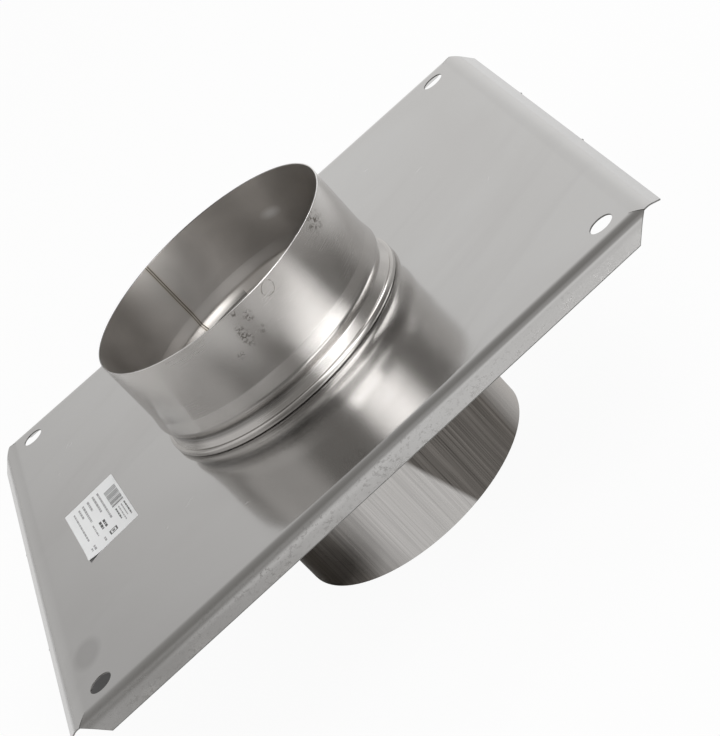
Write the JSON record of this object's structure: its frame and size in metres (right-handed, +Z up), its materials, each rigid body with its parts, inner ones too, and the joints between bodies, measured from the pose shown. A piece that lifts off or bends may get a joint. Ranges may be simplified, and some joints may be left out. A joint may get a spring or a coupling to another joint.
{
  "type": "roof flashing",
  "caption": "Square stainless flashing plate with turned-down edges, a plain tube through its middle and a beaded socket collar on top for a flue pipe.",
  "frame": {"origin": "middle of the lower tube's bottom rim, where the part stands", "axes": "+Z up the tube, from the lower tube's rim to the socket's mouth; +X and +Y square to the plate's edges, with the label on the -X side"},
  "size_m": [0.3798, 0.3788, 0.173],
  "materials": {
    "plate_steel": "smooth mill-finish stainless sheet, soft mirror-like, with handling marks",
    "tube_steel": "stainless sheet with fine lines along the tube",
    "collar_steel": "smooth stainless sheet with forming scuffs",
    "label_paper": "matt white label with plain printed fields"
  },
  "bodies": {
    "root": {"base_plate": "plate_steel", "lower_tube": "tube_steel", "socket_collar": "collar_steel", "label": "label_paper"}
  },
  "joints": []
}
